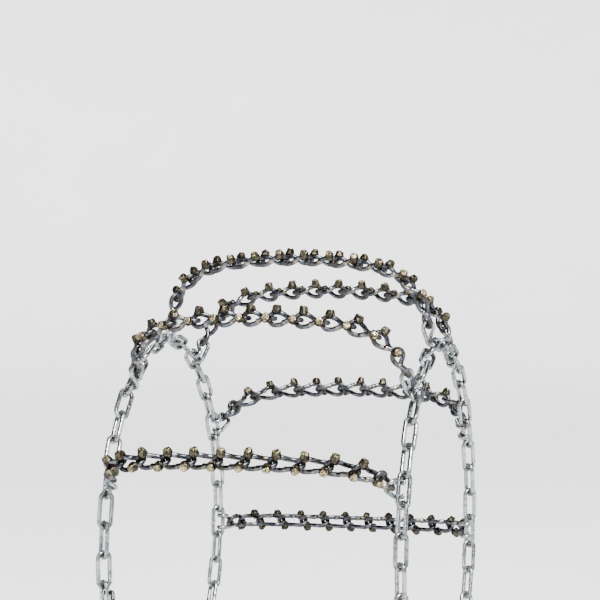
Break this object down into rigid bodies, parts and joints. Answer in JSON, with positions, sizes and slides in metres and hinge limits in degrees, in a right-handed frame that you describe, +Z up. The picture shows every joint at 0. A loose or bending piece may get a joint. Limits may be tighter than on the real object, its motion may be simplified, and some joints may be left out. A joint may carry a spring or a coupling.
{
  "type": "tire snow chains",
  "caption": "Ladder-style snow chain set round a wide off-road tyre's space, with twisted cross chains and welded traction bars.",
  "frame": {"origin": "centre of the wheel that the chain is fitted to", "axes": "+Z up, +Y along the axle from the outer side to the inner side, -X toward the tread seen in the picture"},
  "size_m": [0.6671, 0.3492, 0.6646],
  "materials": {
    "side_chain_zinc": "bright zinc plate",
    "cross_chain_steel": "zinc plate, rubbed",
    "v_bar_steel": "rough sheared bar ends",
    "hook_zinc": "bright zinc plate",
    "fastener_steel": "zinc plate"
  },
  "bodies": {
    "bay_01": {"outer_side_chain_01": "side_chain_zinc", "inner_side_chain_01": "side_chain_zinc", "cross_hooks_01": "hook_zinc"},
    "cross_01": {"cross_chain_01": "cross_chain_steel", "v_bars_01": "v_bar_steel"},
    "bay_02": {"outer_side_chain_02": "side_chain_zinc", "inner_side_chain_02": "side_chain_zinc", "cross_hooks_02": "hook_zinc"},
    "cross_02": {"cross_chain_02": "cross_chain_steel", "v_bars_02": "v_bar_steel"},
    "bay_03": {"outer_side_chain_03": "side_chain_zinc", "inner_side_chain_03": "side_chain_zinc", "cross_hooks_03": "hook_zinc"},
    "cross_03": {"cross_chain_03": "cross_chain_steel", "v_bars_03": "v_bar_steel"},
    "bay_04": {"outer_side_chain_04": "side_chain_zinc", "inner_side_chain_04": "side_chain_zinc", "cross_hooks_04": "hook_zinc"},
    "cross_04": {"cross_chain_04": "cross_chain_steel", "v_bars_04": "v_bar_steel"},
    "bay_05": {"outer_side_chain_05": "side_chain_zinc", "inner_side_chain_05": "side_chain_zinc", "cross_hooks_05": "hook_zinc"},
    "cross_05": {"cross_chain_05": "cross_chain_steel", "v_bars_05": "v_bar_steel"},
    "bay_06": {"outer_side_chain_06": "side_chain_zinc", "inner_side_chain_06": "side_chain_zinc", "cross_hooks_06": "hook_zinc"},
    "cross_06": {"cross_chain_06": "cross_chain_steel", "v_bars_06": "v_bar_steel"},
    "bay_07": {"outer_side_chain_07": "side_chain_zinc", "inner_side_chain_07": "side_chain_zinc", "cross_hooks_07": "hook_zinc"},
    "cross_07": {"cross_chain_07": "cross_chain_steel", "v_bars_07": "v_bar_steel"},
    "bay_08": {"outer_side_chain_08": "side_chain_zinc", "inner_side_chain_08": "side_chain_zinc", "cross_hooks_08": "hook_zinc"},
    "cross_08": {"cross_chain_08": "cross_chain_steel", "v_bars_08": "v_bar_steel"},
    "bay_09": {"outer_side_chain_09": "side_chain_zinc", "inner_side_chain_09": "side_chain_zinc", "cross_hooks_09": "hook_zinc"},
    "cross_09": {"cross_chain_09": "cross_chain_steel", "v_bars_09": "v_bar_steel"},
    "bay_10": {"outer_side_chain_10": "side_chain_zinc", "inner_side_chain_10": "side_chain_zinc", "cross_hooks_10": "hook_zinc"},
    "cross_10": {"cross_chain_10": "cross_chain_steel", "v_bars_10": "v_bar_steel"},
    "bay_11": {"outer_side_chain_11": "side_chain_zinc", "inner_side_chain_11": "side_chain_zinc", "cross_hooks_11": "hook_zinc"},
    "cross_11": {"cross_chain_11": "cross_chain_steel", "v_bars_11": "v_bar_steel"},
    "lever": {"outer_lever": "fastener_steel"},
    "hook": {"inner_hook": "fastener_steel"}
  },
  "joints": [
    {"name": "side_chains_02", "type": "hinge", "parent": "bay_03", "child": "bay_02", "pos_m": [-0.058, 0, 0.21924], "axis": [0, 1, 0], "range_deg": [0, 32.7]},
    {"name": "side_chains_01", "type": "hinge", "parent": "bay_02", "child": "bay_01", "pos_m": [-0.16733, 0, 0.15308], "axis": [0, 1, 0], "range_deg": [0, 32.7]},
    {"name": "side_chains_11", "type": "hinge", "parent": "bay_01", "child": "bay_11", "pos_m": [-0.22353, 0, 0.03832], "axis": [0, 1, 0], "range_deg": [0, 32.7]},
    {"name": "side_chains_10", "type": "hinge", "parent": "bay_11", "child": "bay_10", "pos_m": [-0.20876, 0, -0.08861], "axis": [0, 1, 0], "range_deg": [0, 32.7]},
    {"name": "side_chains_09", "type": "hinge", "parent": "bay_10", "child": "bay_09", "pos_m": [-0.12771, 0, -0.18741], "axis": [0, 1, 0], "range_deg": [0, 32.7]},
    {"name": "side_chains_04", "type": "hinge", "parent": "bay_03", "child": "bay_04", "pos_m": [0.06974, 0, 0.2158], "axis": [0, -1, 0], "range_deg": [0, 32.7]},
    {"name": "side_chains_05", "type": "hinge", "parent": "bay_04", "child": "bay_05", "pos_m": [0.17534, 0, 0.14384], "axis": [0, -1, 0], "range_deg": [0, 32.7]},
    {"name": "side_chains_06", "type": "hinge", "parent": "bay_05", "child": "bay_06", "pos_m": [0.22527, 0, 0.02621], "axis": [0, -1, 0], "range_deg": [0, 32.7]},
    {"name": "side_chains_07", "type": "hinge", "parent": "bay_06", "child": "bay_07", "pos_m": [0.20368, 0, -0.09974], "axis": [0, -1, 0], "range_deg": [0, 32.7]},
    {"name": "side_chains_08", "type": "hinge", "parent": "bay_07", "child": "bay_08", "pos_m": [0.11742, 0, -0.19402], "axis": [0, -1, 0], "range_deg": [0, 32.7]},
    {"name": "cross_swing_01", "type": "hinge", "parent": "bay_01", "child": "cross_01", "pos_m": [-0.23101, 0, 0.09334], "axis": [0, 1, 0], "range_deg": [-10, 10]},
    {"name": "cross_swing_02", "type": "hinge", "parent": "bay_02", "child": "cross_02", "pos_m": [-0.14388, 0, 0.20342], "axis": [0, 1, 0], "range_deg": [-10, 10]},
    {"name": "cross_swing_03", "type": "hinge", "parent": "bay_03", "child": "cross_03", "pos_m": [-0.01107, 0, 0.24891], "axis": [0, 1, 0], "range_deg": [-10, 10]},
    {"name": "cross_swing_04", "type": "hinge", "parent": "bay_04", "child": "cross_04", "pos_m": [0.12526, 0, 0.21538], "axis": [0, 1, 0], "range_deg": [-10, 10]},
    {"name": "cross_swing_05", "type": "hinge", "parent": "bay_05", "child": "cross_05", "pos_m": [0.22182, 0, 0.11347], "axis": [0, 1, 0], "range_deg": [-10, 10]},
    {"name": "cross_swing_06", "type": "hinge", "parent": "bay_06", "child": "cross_06", "pos_m": [0.24795, 0, -0.02447], "axis": [0, 1, 0], "range_deg": [-10, 10]},
    {"name": "cross_swing_07", "type": "hinge", "parent": "bay_07", "child": "cross_07", "pos_m": [0.19536, 0, -0.15464], "axis": [0, 1, 0], "range_deg": [-10, 10]},
    {"name": "cross_swing_08", "type": "hinge", "parent": "bay_08", "child": "cross_08", "pos_m": [0.08074, 0, -0.23571], "axis": [0, 1, 0], "range_deg": [-10, 10]},
    {"name": "cross_swing_09", "type": "hinge", "parent": "bay_09", "child": "cross_09", "pos_m": [-0.05951, 0, -0.24195], "axis": [0, 1, 0], "range_deg": [-10, 10]},
    {"name": "cross_swing_10", "type": "hinge", "parent": "bay_10", "child": "cross_10", "pos_m": [-0.18087, 0, -0.17136], "axis": [0, 1, 0], "range_deg": [-10, 10]},
    {"name": "cross_swing_11", "type": "hinge", "parent": "bay_11", "child": "cross_11", "pos_m": [-0.2448, 0, -0.04638], "axis": [0, 1, 0], "range_deg": [-10, 10]},
    {"name": "lever_swing", "type": "hinge", "parent": "bay_08", "child": "lever", "pos_m": [0.02336, -0.16368, -0.22581], "axis": [-0.0314, 0.7071, 0.7064], "range_deg": [0, 42]},
    {"name": "hook_swing", "type": "hinge", "parent": "bay_08", "child": "hook", "pos_m": [0.02336, 0.16368, -0.22581], "axis": [0.0314, 0.7071, -0.7064], "range_deg": [-20, 90]}
  ]
}
